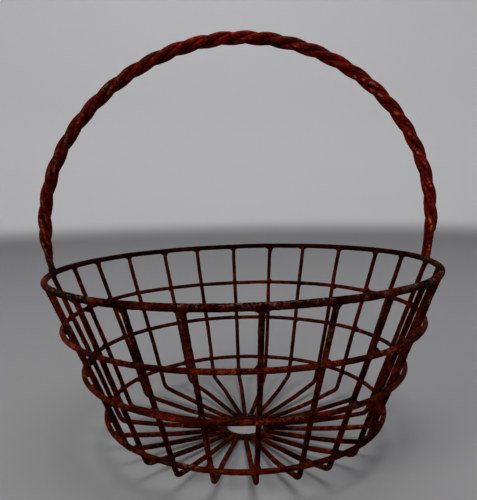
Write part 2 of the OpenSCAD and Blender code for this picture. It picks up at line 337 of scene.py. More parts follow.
def make_piece(node, verts, quads, tris=None, **masks):
    """The shown piece for a CAD node, from vertices in millimetres, with vertex masks."""
    name = f"{node}_iron"
    mesh = bpy.data.meshes.new(name)
    tris = np.zeros((0, 3), int) if tris is None else tris
    loops = np.concatenate([quads.ravel(), tris.ravel()]).astype(np.int32)
    starts = np.concatenate([np.arange(len(quads)) * 4, len(quads) * 4 + np.arange(len(tris)) * 3])
    mesh.vertices.add(len(verts))
    mesh.vertices.foreach_set("co", (verts * SCALE).astype(np.float32).ravel())
    mesh.loops.add(len(loops))
    mesh.loops.foreach_set("vertex_index", loops)
    mesh.polygons.add(len(starts))
    mesh.polygons.foreach_set("loop_start", starts.astype(np.int32))
    mesh.update(calc_edges=True)
    mesh.polygons.foreach_set("use_smooth", np.ones(len(starts), bool))
    for mask, values in masks.items():
        layer = mesh.attributes.new(mask, "FLOAT", "POINT")
        layer.data.foreach_set("value", np.asarray(values, np.float32))
    piece = bpy.data.objects.new(name, mesh)
    bpy.context.scene.collection.objects.link(piece)
    slot = SLOT_OF[node]
    mesh.materials.append(MATERIALS[slot])
    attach(piece, "root")
    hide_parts(node)


def vertex_normals(verts, quads):
    """Area-weighted normals."""
    total = np.zeros_like(verts)
    face = np.cross(verts[quads[:, 2]] - verts[quads[:, 0]], verts[quads[:, 3]] - verts[quads[:, 1]])
    for k in range(4):
        np.add.at(total, quads[:, k], face)
    return unit(total)


CAP_RISE = 0.45                       # of a bar's end over its last ring, as a share of its radius


def sweep(path, across, radius, sides, closed):
    """A rusted round bar along path. Returns vertices, quads, end triangles and outward normals."""
    n = len(path)
    ahead = np.roll(path, -1, 0) - np.roll(path, 1, 0) if closed else np.gradient(path, axis=0)
    ahead = unit(ahead)
    a = unit(across - (across * ahead).sum(1)[:, None] * ahead)
    b = np.cross(ahead, a)
    theta = np.arange(sides) * 2 * np.pi / sides
    normal = np.cos(theta)[None, :, None] * a[:, None] + np.sin(theta)[None, :, None] * b[:, None]
    r = radius[:, :, None] if np.ndim(radius) == 2 else np.broadcast_to(radius, (n,))[:, None, None]
    verts = (path[:, None] + r * normal).reshape(-1, 3)
    normal = normal.reshape(-1, 3)
    verts = verts + normal * rust_relief(verts)[:, None]
    i, k = np.meshgrid(np.arange(n if closed else n - 1), np.arange(sides), indexing="ij")
    i, k = i.ravel(), k.ravel()
    j, m = (i + 1) % n, (k + 1) % sides
    quads = np.stack([i * sides + k, i * sides + m, j * sides + m, j * sides + k], 1)
    tris = np.zeros((0, 3), int)
    if not closed:
        ends, poles = [], []
        for at, way in ((0, -1), (n - 1, 1)):
            poles.append(path[at] + way * ahead[at] * r[at].mean() * CAP_RISE)
            pole = np.full(sides, n * sides + len(poles) - 1)
            ring = at * sides + np.arange(sides)
            following = np.roll(ring, -1)
            ends.append(np.stack([pole, following, ring] if way < 0 else [pole, ring, following], 1))
        verts = np.concatenate([verts, poles])
        normal = np.concatenate([normal, [-ahead[0], ahead[-1]]])
        tris = np.concatenate(ends)
    return verts, quads, tris, normal


def surface_net(field, origin, step):
    """A closed quad mesh where field, sampled on a grid, passes from inside (negative) to outside."""
    inside = field < 0
    shape = np.array(field.shape)
    count = np.zeros(shape - 1, np.int8)
    corners = [(x, y, z) for x in (0, 1) for y in (0, 1) for z in (0, 1)]
    for x, y, z in corners:
        count += inside[x:shape[0] - 1 + x, y:shape[1] - 1 + y, z:shape[2] - 1 + z]
    cells = np.argwhere((count > 0) & (count < 8))
    ids = np.full(shape - 1, -1)
    ids[tuple(cells.T)] = np.arange(len(cells))
    total, hits = np.zeros((len(cells), 3)), np.zeros(len(cells))
    for c in corners:
        for d in range(3):
            if c[d]:
                continue
            e = list(c)
            e[d] = 1
            f0, f1 = field[tuple((cells + c).T)], field[tuple((cells + e).T)]
            cross = (f0 < 0) != (f1 < 0)
            t = np.where(cross, f0 / np.where(cross, f0 - f1, 1), 0)
            point = np.tile(np.array(c, float), (len(cells), 1))
            point[:, d] = t
            total += point * cross[:, None]
            hits += cross
    verts = (cells + total / hits[:, None]) * step + origin
    quads = []
    for d in range(3):
        u, v = (d + 1) % 3, (d + 2) % 3
        low = [slice(1, s - 1) for s in shape]
        low[d] = slice(0, shape[d] - 1)
        high = list(low)
        high[d] = slice(1, shape[d])
        a, b = inside[tuple(low)], inside[tuple(high)]
        edge = np.argwhere(a != b)
        starts_inside = a[tuple(edge.T)]
        base = edge + [s.start for s in low]
        ring = []
        for du, dv in ((-1, -1), (0, -1), (0, 0), (-1, 0)):
            cell = base.copy()
            cell[:, u] += du
            cell[:, v] += dv
            ring.append(ids[tuple(cell.T)])
        ring = np.stack(ring, 1)
        quads.append(np.where(starts_inside[:, None], ring, ring[:, ::-1]))
    return verts, np.concatenate(quads)


def capsule(p, a, b, ra, rb):
    """Distance from points p to a rounded bar from a to b."""
    ab = b - a
    t = np.clip(((p - a) @ ab) / max(ab @ ab, 1e-9), 0, 1)
    return np.linalg.norm(p - a - t[:, None] * ab, axis=1) - (ra + t * (rb - ra))


def chain(p, points, radii):
    """Distance to a bar that runs through points."""
    radii = np.broadcast_to(radii, (len(points),))
    best = np.full(len(p), 1e9)
    for k in range(len(points) - 1):
        best = np.minimum(best, capsule(p, points[k], points[k + 1], radii[k], radii[k + 1]))
    return best


def fused(fields, fillet):
    """The fields' union, with fillets about this wide."""
    best = fields[0]
    for f in fields[1:]:
        h = np.clip(0.5 + 0.5 * (f - best) / fillet, 0, 1)
        best = f + (best - f) * h - fillet * h * (1 - h)
    return best


LINE_STEP = 2.2                       # between the points of a bar's line inside a weld


def near(path, point, reach, closed=False):
    """The stretch of a bar's line within reach of point, thinned to a point every LINE_STEP."""
    gap = np.linalg.norm(path[1] - path[0])
    if closed:
        path = np.roll(path, -int(np.argmin(np.linalg.norm(path - point, axis=1))) + len(path) // 2, 0)
    path = path[np.linalg.norm(path - point, axis=1) < reach]
    return path[:: max(1, int(LINE_STEP / gap))]


def grid_around(low, high, step):
    """The points of a grid that fills the box from low to high, and their count along each axis."""
    counts = np.ceil((high - low) / step).astype(int) + 1
    axes = [low[k] + step * np.arange(counts[k]) for k in range(3)]
    p = np.stack(np.meshgrid(*axes, indexing="ij"), -1).reshape(-1, 3)
    return p, counts


SUNK = 0.22                           # how far a weld's skin dives under the bar's own surface at its edges
NET_STEP = 0.5                        # of the grid that a weld's skin is found on


def weld(centre, reach, runs, beads, fillet):
    """Skin of one weld: runs of bar, as (points, radius), and beads, as (a, b, radius), fused together."""
    p, counts = grid_around(centre - reach - 1, centre + reach + 1, NET_STEP)
    fields = [chain(p, points, r - SUNK) for points, r in runs if len(points) > 1]
    fields += [capsule(p, a, b, r, r) for a, b, r in beads]
    lumps = 0.28 * noise(p, 2.6, 11) + 0.12 * noise(p, 1.3, 12)
    from_centre = np.linalg.norm(p - centre, axis=1)
    field = fused(fields, fillet) - lumps * eased((reach - from_centre) / (0.5 * reach))
    field = np.maximum(field, from_centre - reach)
    return surface_net(field.reshape(counts), p[0], NET_STEP)


def joined(parts):
    """Several (vertices, quads) as one."""
    verts, quads, n = [], [], 0
    for v, q in parts:
        verts.append(v)
        quads.append(q + n)
        n += len(v)
    return np.concatenate(verts), np.concatenate(quads)


# ---------------------------------------------------------------- materials

def texture(nt, coord, scale, detail, rough, distortion, seed):
    """Noise in the row frame, scale in features a metre."""
    node = nt.nodes.new("ShaderNodeTexNoise")
    node.noise_dimensions = "3D"
    node.inputs["Scale"].default_value = scale
    node.inputs["Detail"].default_value = detail
    node.inputs["Roughness"].default_value = rough
    node.inputs["Distortion"].default_value = distortion
    shifted = nt.nodes.new("ShaderNodeVectorMath")
    shifted.operation = "ADD"
    shifted.inputs[1].default_value = (seed, seed * 0.7, -seed)
    nt.links.new(coord, shifted.inputs[0])
    nt.links.new(shifted.outputs[0], node.inputs["Vector"])
    return node.outputs["Fac"]


def mix(nt, fac, a, b, blend="MIX"):
    """The colour from a to b by fac. Each of them is a socket or a constant."""
    node = nt.nodes.new("ShaderNodeMix")
    node.data_type = "RGBA"
    node.blend_type = blend
    for socket, value in ((node.inputs[0], fac), (node.inputs[6], a), (node.inputs[7], b)):
        if isinstance(value, bpy.types.NodeSocket):
            nt.links.new(value, socket)
        elif isinstance(value, (int, float)):
            socket.default_value = value
        else:
            socket.default_value = (*value, 1)
    return node.outputs[2]


def maths(nt, op, a, b, clamp=False):
    """The result of op on a and b, each a socket or a constant."""
    node = nt.nodes.new("ShaderNodeMath")
    node.operation = op
    node.use_clamp = clamp
    for socket, value in ((node.inputs[0], a), (node.inputs[1], b)):
        if isinstance(value, bpy.types.NodeSocket):
            nt.links.new(value, socket)
        else:
            socket.default_value = value
    return node.outputs[0]


def stretch(nt, value, low, high):
    """value from low..high to 0..1, held at both ends."""
    node = nt.nodes.new("ShaderNodeMapRange")
    node.interpolation_type = "SMOOTHSTEP"
    node.inputs["From Min"].default_value = low
    node.inputs["From Max"].default_value = high
    nt.links.new(value, node.inputs["Value"])
    return node.outputs["Result"]


def mask(nt, name):
    """A vertex mask of the mesh."""
    node = nt.nodes.new("ShaderNodeAttribute")
    node.attribute_name = name
    return node.outputs["Fac"]


SCORCHED = (0.0060, 0.0054, 0.0046)
DARK_REGION, LIGHT_REGION = (0.40, 0.32, 0.30), (1.40, 1.30, 1.20)
# Features a metre of the regions, patches, blots and grain of rust, and of the cells of its crust
REGION_SCALE, PATCH_SCALE, BLOT_SCALE, GRAIN_SCALE, CELL_SCALE = 32, 75, 260, 900, 620
RUST_IOR, BUMP_STRENGTH, BUMP_HEIGHT = 1.16, 0.75, 0.0006


def rust(name, deep, body, bright, dust_and_sheen, orange_share, sheen_rough, gloss, speckles=0.75, mottle=1.0,
         tint=(1.0, 0.5, 0.36)):
    """Rusted iron: deep to bright are its colours from shade to new orange rust; its grey stands for wear and
    also paints highlights.
    """
    material = bpy.data.materials.new(name)
    material.use_nodes = True
    nt = material.node_tree
    shader = nt.nodes["Principled BSDF"]
    coord = nt.nodes.new("ShaderNodeTexCoord").outputs["Object"]
    regions = texture(nt, coord, REGION_SCALE, 3, 0.55, 0.4, 9.3)
    patches = texture(nt, coord, PATCH_SCALE, 4, 0.62, 0.6, 1.3)
    blots = texture(nt, coord, BLOT_SCALE, 5, 0.65, 0.3, 4.1)
    grain = texture(nt, coord, GRAIN_SCALE, 4, 0.7, 0.0, 7.7)
    fresh, worn, burnt, shade = mask(nt, "fresh"), mask(nt, "worn"), mask(nt, "burnt"), mask(nt, "shade")

    colour = mix(nt, stretch(nt, patches, 0.36, 0.60), deep, body)
    speckle = maths(nt, "ADD", maths(nt, "MULTIPLY", grain, 0.55), maths(nt, "MULTIPLY", blots, 0.45))
    colour = mix(nt, maths(nt, "MULTIPLY", stretch(nt, speckle, 0.50, 0.60), speckles), colour, bright)
    colour = mix(nt, maths(nt, "MULTIPLY", stretch(nt, speckle, 0.47, 0.39), 0.85), colour,
                 tuple(0.3 * c for c in deep))
    # Painted highlights on the handle and painted lit patches on the rim's turns come in here too, mixed
    # towards the bright colour.
    glow = maths(nt, "ADD", blots, maths(nt, "MULTIPLY", fresh, 0.34))
    colour = mix(nt, stretch(nt, glow, 0.86 - orange_share, 1.08 - orange_share), colour, bright)
    tone = mix(nt, stretch(nt, regions, 0.38, 0.60), DARK_REGION, LIGHT_REGION)
    colour = mix(nt, mottle, colour, tone, "MULTIPLY")
    # The grey mixed in here is wear and also painted grey highlights on the rim's top and along the handle.
    broken = maths(nt, "ADD", maths(nt, "ADD", grain, maths(nt, "MULTIPLY", blots, 0.8)),
                   maths(nt, "MULTIPLY", worn, 0.3))
    rub_and_sheen = maths(nt, "MULTIPLY", stretch(nt, broken, 1.04, 1.16), maths(nt, "MULTIPLY", worn, 4.0, True))
    colour = mix(nt, rub_and_sheen, colour, dust_and_sheen)
    scorch = maths(nt, "MULTIPLY", burnt, stretch(nt, blots, 0.28, 0.55))
    colour = mix(nt, scorch, colour, SCORCHED)
    dark = maths(nt, "MULTIPLY", shade, 0.8)
    colour = mix(nt, dark, colour, tuple(0.4 * c for c in deep))
    nt.links.new(colour, shader.inputs["Base Color"])

    roughness = maths(nt, "ADD", maths(nt, "MULTIPLY", stretch(nt, grain, 0.35, 0.65), 0.24), sheen_rough)
    smoothed = maths(nt, "MULTIPLY", maths(nt, "MAXIMUM", rub_and_sheen, scorch), 0.14)
    roughness = maths(nt, "SUBTRACT", roughness, smoothed)
    nt.links.new(roughness, shader.inputs["Roughness"])
    shader.inputs["IOR"].default_value = RUST_IOR
    shader.inputs["Specular IOR Level"].default_value = gloss
    shader.inputs["Specular Tint"].default_value = (*tint, 1)

    cells = nt.nodes.new("ShaderNodeTexVoronoi")
    cells.inputs["Scale"].default_value = CELL_SCALE
    nt.links.new(coord, cells.inputs["Vector"])
    crust = maths(nt, "MULTIPLY", cells.outputs["Distance"], 0.35)
    relief = maths(nt, "ADD", maths(nt, "MULTIPLY", grain, 0.6), crust)
    relief = maths(nt, "ADD", relief, maths(nt, "MULTIPLY", blots, 0.5))
    bump = nt.nodes.new("ShaderNodeBump")
    bump.inputs["Strength"].default_value = BUMP_STRENGTH
    bump.inputs["Distance"].default_value = BUMP_HEIGHT
    nt.links.new(relief, bump.inputs["Height"])
    nt.links.new(bump.outputs["Normal"], shader.inputs["Normal"])
    return material


# Name, shade, body, fresh rust and worn grey colour (the grey also paints highlights), share of orange,
# smoothest roughness and gloss
MATERIALS = {
    "rim_rust": rust(
        "rim_rust", (0.0100, 0.0006, 0.0004), (0.036, 0.0034, 0.0016), (0.120, 0.026, 0.006),
        (0.110, 0.076, 0.058), 0.03, 0.50, 0.10),
    "hoop_rust": rust(
        "hoop_rust", (0.017, 0.0008, 0.0004), (0.056, 0.0036, 0.0011), (0.170, 0.036, 0.006),
        (0.120, 0.078, 0.052), 0.10, 0.48, 0.25),
    "rib_rust": rust(
        "rib_rust", (0.015, 0.0007, 0.0004), (0.051, 0.0026, 0.0009), (0.150, 0.029, 0.005),
        (0.110, 0.074, 0.054), 0.05, 0.50, 0.22),
    "base_rust": rust(
        "base_rust", (0.018, 0.0012, 0.0007), (0.056, 0.0050, 0.0016), (0.155, 0.035, 0.007),
        (0.120, 0.090, 0.070), 0.08, 0.48, 0.30),
    "handle_rust": rust(
        "handle_rust", (0.046, 0.0005, 0.0001), (0.128, 0.0030, 0.0005), (0.300, 0.100, 0.040),
        (0.125, 0.096, 0.060), 0.0, 0.36, 0.40, speckles=0.28, mottle=0.4, tint=(1.0, 0.42, 0.26)),
    "weld_scale": rust(
        "weld_scale", (0.013, 0.0011, 0.0007), (0.042, 0.0042, 0.0018), (0.120, 0.027, 0.006),
        (0.130, 0.112, 0.092), 0.02, 0.42, 0.45),
}

# ---------------------------------------------------------------- build the bars

RIM_SIDES, HOOP_SIDES, RIB_SIDES, STRAND_SIDES = 26, 22, 20, 32
RING_SEED, RIB_SEED, SEED_STEP = 100, 200, 10
# In degrees from -Y towards +X: the rim's and the hoops' turns to the far side, and the place of the rim's
# painted grey highlight
RIM_LEFT_TURN, RIM_RIGHT_TURN, RIM_HIGHLIGHT = -72, 68, 47
HOOP_LEFT_TURN, HOOP_RIGHT_TURN = -76, 78
# The masks below are 0 for none to 1 for full. Each noise in them has the size of its patches and its own seed.


def masks_for(verts, fresh=0.0, worn=0.0, burnt=0.0, shade=0.0):
    """The four vertex masks, each given as one value for all or one a vertex."""
    one = np.ones(len(verts))
    return {"fresh": one * fresh, "worn": one * worn, "burnt": one * burnt, "shade": one * shade}


def near_bearing(verts, bearing, spread):
    """1 at this bearing in degrees from -Y towards +X, falling to 0 at spread to each side."""
    off = np.degrees(np.arctan2(verts[:, 0], -verts[:, 1])) - bearing
    return eased(1 - np.abs((off + 180) % 360 - 180) / spread)


def underside(normal):
    """Painted shade under a ring, darkening its downward-facing side."""
    return 0.75 * eased(-normal @ UP - 0.05)


def rim_masks(verts, normal):
    """The rim is grey along its top, partly wear and partly a painted highlight, strongest at the front right
    and faint on the far half. Its left turn is painted bright orange as a lit patch and its right turn a little
    brighter; painted shade lies underneath and on the far half.
    """
    top, depth = normal @ UP, verts[:, 1]
    worn = 0.45 * eased((top + 0.2) / 0.9) * eased((noise(verts, 19, 21) + 0.25) / 0.5)
    # Painted highlight at the front right, on the top side.
    worn = worn + 0.25 * near_bearing(verts, RIM_HIGHLIGHT, 20) * eased((top + 0.3) / 0.6)
    worn = worn * (1 - near_bearing(verts, RIM_LEFT_TURN, 20)) * (1 - 0.8 * eased(depth / 90))
    # Painted lit patch on the left turn in brighter orange; the right turn a little brighter.
    fresh = 0.2 + 0.5 * eased(noise(verts, 34, 22)) + 1.2 * near_bearing(verts, RIM_LEFT_TURN, 16)
    fresh = fresh + 0.6 * near_bearing(verts, RIM_RIGHT_TURN, 12)
    # Painted shade underneath and over the far half.
    return masks_for(verts, fresh, worn, 0, underside(normal) + 0.75 * eased(depth / 110))


def hoop_masks(verts, normal):
    """The hoops are freshest at both turns to the far side, with painted shade underneath."""
    turns = np.maximum(near_bearing(verts, HOOP_RIGHT_TURN, 26), near_bearing(verts, HOOP_LEFT_TURN, 30))
    fresh = 0.35 + 0.7 * noise(verts, 26, 24) + 0.3 * turns
    worn = 0.45 * eased(normal @ UP) * eased(noise(verts, 16, 23))
    # Painted shade on the hoops' undersides.
    return masks_for(verts, fresh, worn, 0, underside(normal))


def rib_masks(verts, normal):
    """The ribs are fresher orange near the ground, with painted shade on their undersides there, and dark in
    blotches further up.
    """
    low = eased((45 - verts[:, 2]) / 30)
    fresh = 0.25 + 0.45 * low + 0.5 * noise(verts, 24, 25)
    blotches = eased(noise(verts, 28, 26) + 0.2)
    # The second term is painted shade on the undersides near the ground; the blotches are random.
    shade = 0.45 * blotches * (1 - low) + 0.6 * low * eased(-normal @ UP - 0.1)
    return masks_for(verts, fresh, 0.35 * eased(noise(verts, 18, 27)), 0, shade)


def handle_masks(verts, normal, facing):
    """The strands have painted shade in their grooves and are darkened on the left. A broken painted highlight
    runs along their front and back.
    """
    a = np.degrees(np.arctan2((verts[:, 2] - handle_z) / HANDLE_RISE, verts[:, 0] / half_w))
    a = np.where(a < -90, a + 360, a)
    from_core = np.linalg.norm(verts - bow_point(a), axis=1) / ((STRAND_R + LAY_R) * forged(a))
    height, on_left = verts[:, 2] - handle_z, verts[:, 0] < 0
    # The painted highlight runs on both sides of the bow: a little to its inside on the right, outside on the
    # upper left
    to_inside = np.where(on_left, -1.1 * eased((height - 130) / 60), 0.35)
    to_side = np.stack([0 * height, np.sign(normal[:, 1]), 0 * height], 1)
    highlight_way = unit(to_side + to_inside[:, None] * bow_normal(a))
    highlight_streak = eased(((normal * highlight_way).sum(1) - 0.88) / 0.08) * eased((facing - 0.05) / 0.4)
    highlight_streak = highlight_streak * eased((noise(bow_point(a), 6, 43) + 0.8) / 0.8)
    highlight_streak = highlight_streak * (1 - 0.55 * eased((height - 155) / 30) * ~on_left)

    # Painted highlight along each strand's crown, broken by noise.
    crown = eased((facing - 0.70) / 0.25)
    left = eased((-40 - verts[:, 0]) / 60)
    fresh = 0.5 * crown * eased((noise(verts, 5, 28) + 0.4) / 0.8) + 0.25 * noise(verts, 25, 36)
    # Painted highlight along the front and back of the strands: bright orange, and grey on the left side.
    fresh = fresh + 1.3 * highlight_streak * eased((noise(verts, 2.5, 40) + 0.7) / 0.8)
    worn = 0.7 * highlight_streak * eased((noise(verts, 2.5, 29) + 0.8) / 0.7) * left
    # Painted shade in the grooves between the strands; the left side is also darkened.
    shade = np.minimum(eased((0.84 - from_core) / 0.3) + 0.35 * left, 1)
    return masks_for(verts, fresh * (1 - 0.65 * left), worn, 0, shade)


bars = {}
for place, node in enumerate(["rim_hoop"] + SIDE_HOOPS):
    path, across, bar = ring_path(node, RING_SEED + SEED_STEP * place)
    bars[node] = (path, bar)
    sides, masks_of = (RIM_SIDES, rim_masks) if node == "rim_hoop" else (HOOP_SIDES, hoop_masks)
    verts, quads, tris, normal = sweep(path, across, bar, sides, True)
    make_piece(node, verts, quads, tris, **masks_of(verts, normal))

for place, node in enumerate(RIBS):
    path, across, bar = rib_path(node, RIB_SEED + SEED_STEP * place)
    bars[node] = (path, bar)
    verts, quads, tris, normal = sweep(path, across, bar, RIB_SIDES, False)
    make_piece(node, verts, quads, tris, **rib_masks(verts, normal))

strands = {}
core_r = 0.7 * STRAND_R + 0.3 * LAY_R     # of a strand inside the welds, a little slimmer than it is outside
theta = np.arange(STRAND_SIDES) * 2 * np.pi / STRAND_SIDES
for i in (1, 2, 3):
    path, out, slim = strand_path(i)
    strands[i] = (path, slim * core_r)
    verts, quads, tris, normal = sweep(path, out, strand_reach(theta, slim), STRAND_SIDES, False)
    facing = np.append(np.tile(np.cos(theta), len(path)), [0, 0])
    make_piece(f"handle_strand_{i}", verts, quads, tris, **handle_masks(verts, normal, facing))

# ---------------------------------------------------------------- the hub ring

HUB_EDGE, PROFILE_STEP, EDGE_POINTS, HUB_ROUGH = 1.5, 0.5, 7, 1.2


def hub_profile():
    """The section through the hub ring, as (radius, height): four sides, each followed by a round edge."""
    inner, outer, low, high = HUB_HOLE_R + HUB_EDGE, hub_r - HUB_EDGE, HUB_EDGE, hub_t - HUB_EDGE
    sides = [((inner, 0), (outer, 0), -90), ((hub_r, low), (hub_r, high), 0),
             ((outer, hub_t), (inner, hub_t), 90), ((HUB_HOLE_R, high), (HUB_HOLE_R, low), 180)]
    profile = []
    for (r0, z0), (r1, z1), facing in sides:
        steps = max(2, int(math.hypot(r1 - r0, z1 - z0) / PROFILE_STEP))
        profile += [(r0 + (r1 - r0) * t, z0 + (z1 - z0) * t) for t in np.linspace(0, 1, steps)]
        edge = np.radians([facing, facing + 90])
        middle = np.array([r1, z1]) - HUB_EDGE * np.array([math.cos(edge[0]), math.sin(edge[0])])
        profile += [(middle[0] + HUB_EDGE * math.cos(t), middle[1] + HUB_EDGE * math.sin(t))
                    for t in np.linspace(*edge, EDGE_POINTS)[1:-1]]
    return np.array(profile)


profile = hub_profile()
rounds, m = int(2 * np.pi * hub_r / BAR_STEP), len(profile)
turn = np.arange(rounds) * 2 * np.pi / rounds
verts = np.stack([
    np.cos(turn)[:, None] * profile[:, 0], np.sin(turn)[:, None] * profile[:, 0],
    np.ones(rounds)[:, None] * profile[:, 1]], -1).reshape(-1, 3)
i, k = [x.ravel() for x in np.meshgrid(np.arange(rounds), np.arange(m), indexing="ij")]
j, l = (i + 1) % rounds, (k + 1) % m
quads = np.stack([i * m + k, j * m + k, j * m + l, i * m + l], 1)
verts = verts + vertex_normals(verts, quads) * rust_relief(verts, HUB_ROUGH)[:, None]
verts[:, 2] = np.maximum(verts[:, 2], 0)
make_piece("hub_ring", verts, quads, **masks_for(verts, fresh=0.3, worn=0.1, burnt=0.3))

# ---------------------------------------------------------------- the welds

WELD_SEED = 7
random = np.random.default_rng(WELD_SEED)
THINNED = 3                           # crossings are looked for on every third point of both lines


def crossing(a, b):
    """Where two bars come nearest: the points on each."""
    on_a, on_b = bars[a][0][::THINNED], bars[b][0][::THINNED]
    apart = ((on_a[:, None] - on_b[None]) ** 2).sum(-1)
    i, j = np.unravel_index(np.argmin(apart), apart.shape)
    return on_a[i], on_b[j]


def direction(path, point):
    """Which way a line runs at the place nearest to point."""
    i = int(np.argmin(np.linalg.norm(path - point, axis=1)))
    return unit(path[min(i + 2, len(path) - 1)] - path[max(i - 2, 0)])


def spread_over(parts, values):
    """One value a part, as one value a vertex."""
    return np.concatenate([np.full(len(v), value) for (v, _), value in zip(parts, values)])


# Crossings where the bead was left big and black
HEAVY_WELDS = {
    ("upper_hoop", "rib_18"), ("upper_hoop", "rib_10"), ("middle_hoop", "rib_19"), ("middle_hoop", "rib_09"),
    ("middle_hoop", "rib_13"), ("middle_hoop", "rib_05"), ("lower_hoop", "rib_23"), ("lower_hoop", "rib_15")}
HEAVY_SIZE = 1.2
# Of a weld between bars: how far its skin and its runs of bar reach, and the width of its fillets
HOOP_REACH, HOOP_RUN, HOOP_FILLET = 8.0, 13, 1.6
RIM_REACH, RIM_RIB_RUN, RIM_RUN, RIM_FILLET = 8.5, 14, 15, 2.4
RIB_PAST_RIM = 0.6                    # how far a rib runs on into the rim's weld
DRIP_SHARE = 0.45                     # of the rim's welds, those with a drip

for hoop in SIDE_HOOPS:
    parts, blacks = [], []
    for rib in RIBS:
        on_rib, on_hoop = crossing(rib, hoop)
        centre = (on_rib + on_hoop) / 2
        along_hoop, along_rib = direction(bars[hoop][0], on_hoop), direction(bars[rib][0], on_rib)
        heavy = (hoop, rib) in HEAVY_WELDS
        size = HEAVY_SIZE if heavy else 1.0
        half = along_hoop * random.uniform(0.8, 1.9) * size
        beads = [(centre - half, centre + half, random.uniform(2.1, 2.6) * size)]
        lump = centre + along_rib * random.choice([-1, 1]) * random.uniform(1.5, 2.6) * size
        lump = lump + along_hoop * random.uniform(-2.0, 2.0) * size
        beads.append((lump, lump + along_hoop * random.uniform(-1, 1), random.uniform(1.5, 2.3) * size))
        blacks.append(1.0 if heavy else random.choice([0, 0, 0.2, 0.5]))
        runs = [(near(bars[rib][0], centre, HOOP_RUN), rib_r),
                (near(bars[hoop][0], centre, HOOP_RUN, closed=True), bars[hoop][1])]
        parts.append(weld(centre, HOOP_REACH * size, runs, beads, HOOP_FILLET))
    verts, quads = joined(parts)
    black = spread_over(parts, blacks)
    fresh = 0.75 * eased((noise(verts, 9, 31) + 0.3) / 0.5) * (1 - black)
    worn = 0.25 * eased(noise(verts, 5, 37))
    shade = 0.3 * eased(noise(verts, 11, 38))
    make_piece(hoop + "_welds", verts, quads, **masks_for(verts, fresh, worn, black, shade))

parts = []
for rib in RIBS:
    on_rib, on_rim = crossing(rib, "rim_hoop")
    along_rim = direction(bars["rim_hoop"][0], on_rim)
    along_rib = direction(bars[rib][0][-20:], bars[rib][0][-8])
    under = on_rim - along_rib * rim_bar_r
    beads = []
    for way in (-1, 1):
        size = random.uniform(1.0, 1.7)
        foot = under + along_rim * way * (rib_r + 0.2 * size)
        beads.append((foot, foot + along_rim * way * random.uniform(0.6, 1.8) + along_rib * 0.6, size))
    if random.random() < DRIP_SHARE:
        drip = under + along_rim * random.uniform(-2.5, 2.5) - along_rib * random.uniform(0.5, 2.0)
        beads.append((drip, drip - along_rib * random.uniform(0.5, 2.0), random.uniform(1.3, 2.0)))
    rib_run = near(bars[rib][0], under, RIM_RIB_RUN)
    rib_run = rib_run[(rib_run - under) @ along_rib < RIB_PAST_RIM]
    runs = [(rib_run, rib_r), (near(bars["rim_hoop"][0], under, RIM_RUN, closed=True), rim_bar_r)]
    parts.append(weld(under, RIM_REACH, runs, beads, RIM_FILLET))
verts, quads = joined(parts)
worn = 0.2 * eased(noise(verts, 6, 39))
burnt = 0.35 * eased((noise(verts, 8, 32) + 0.1) / 0.6)
# Painted shade on the welds of the rim's far half, as on the rim.
make_piece("rim_welds", verts, quads, **masks_for(verts, 0.2, worn, burnt, 0.5 * eased(verts[:, 1] / 120)))

# The ribs' ends, welded to the hub ring in one ragged ring of beads
HUB_SKIN = 0.15                       # how far the ring inside the weld is under the ring's own surface
HUB_FILLET, HUB_RUN, HUB_THINNED = 1.8, 44, 4
WELD_IN_R, WELD_OUT_R, WELD_LOW, WELD_HIGH = 21.5, 33.5, 0.35, 10.5
p, counts = grid_around(np.array([-35.0, -35.0, -1.0]), np.array([35.0, 35.0, WELD_HIGH]), NET_STEP)
reach = np.hypot(p[:, 0], p[:, 1])
half_wide, half_high = (hub_r - HUB_HOLE_R) / 2 - HUB_EDGE - HUB_SKIN, hub_t / 2 - HUB_EDGE - HUB_SKIN
ring_field = np.hypot(np.maximum(np.abs(reach - (HUB_HOLE_R + hub_r) / 2) - half_wide, 0),
                      np.maximum(np.abs(p[:, 2] - hub_t / 2) - half_high, 0)) - HUB_EDGE
ends, beads = np.full(len(p), 1e9), np.full(len(p), 1e9)
for rib, following in zip(RIBS, RIBS[1:] + RIBS[:1]):
    path = bars[rib][0]
    run = path[np.hypot(path[:, 0], path[:, 1]) < HUB_RUN][::HUB_THINNED]
    ends = np.minimum(ends, chain(p, run, rib_r - SUNK))
    out = unit((path[3] + bars[following][0][3]) / 2 * [1, 1, 0])
    spot = out * random.uniform(25.4, 26.6) + UP * (hub_t - random.uniform(0.5, 1.1))
    far = spot + out * random.uniform(1.0, 3.0) - UP * random.uniform(0.0, 0.5)
    beads = np.minimum(beads, capsule(p, spot, far, random.uniform(1.7, 2.2), random.uniform(0.9, 1.3)))
lumps = 0.3 * noise(p, 2.8, 13) + 0.12 * noise(p, 1.3, 14)
lumps = lumps * eased((reach - 20.5) / 3) * eased((33 - reach) / 3)
field = fused([ring_field, ends, beads], HUB_FILLET) - lumps
field = np.max([field, reach - WELD_OUT_R, WELD_IN_R - reach, WELD_LOW - p[:, 2]], 0)
verts, quads = surface_net(field.reshape(counts), p[0], NET_STEP)
reach = np.hypot(verts[:, 0], verts[:, 1])
worn = 0.25 * eased((noise(verts, 6, 35) + 0.2) / 0.5)
burnt = 0.8 * eased((noise(verts, 9, 33) + 0.35) / 0.6)
# Painted shade low on the weld's outer edge, next to the ground.
shade = 0.5 * eased((reach - 27) / 3) * eased((4.5 - verts[:, 2]) / 2)
make_piece("hub_welds", verts, quads, **masks_for(verts, 0.3, worn, burnt, shade))

